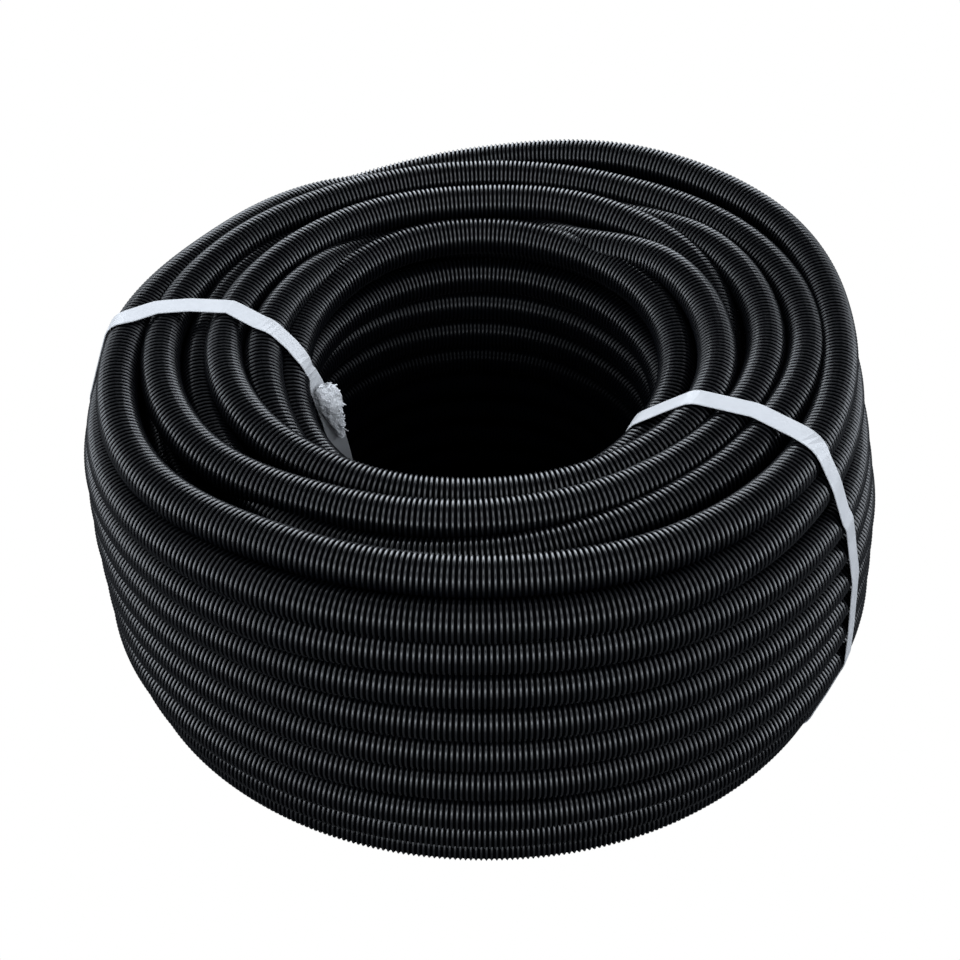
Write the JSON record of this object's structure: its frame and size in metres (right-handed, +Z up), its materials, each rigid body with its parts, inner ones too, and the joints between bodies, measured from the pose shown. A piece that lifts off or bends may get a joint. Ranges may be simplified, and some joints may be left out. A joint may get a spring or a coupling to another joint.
{
  "type": "corrugated conduit roll",
  "caption": "Roll of black corrugated plastic conduit lying on its end, its turns packed round an open bore and tied by flat white plastic straps.",
  "frame": {"origin": "on the floor, on the axis of the roll", "axes": "+Z up along the axis of the roll; the front of the picture faces -Y and +X is to its right"},
  "size_m": [0.4352, 0.435, 0.2134],
  "materials": {
    "conduit_black": "satin black polyethylene",
    "strap_white": "natural white polypropylene tape",
    "seal_white": "crimped and frayed white plastic"
  },
  "bodies": {
    "root": {"conduit_coil": "conduit_black", "left_strap": "strap_white", "right_strap": "strap_white", "strap_seal": "seal_white"}
  },
  "joints": []
}
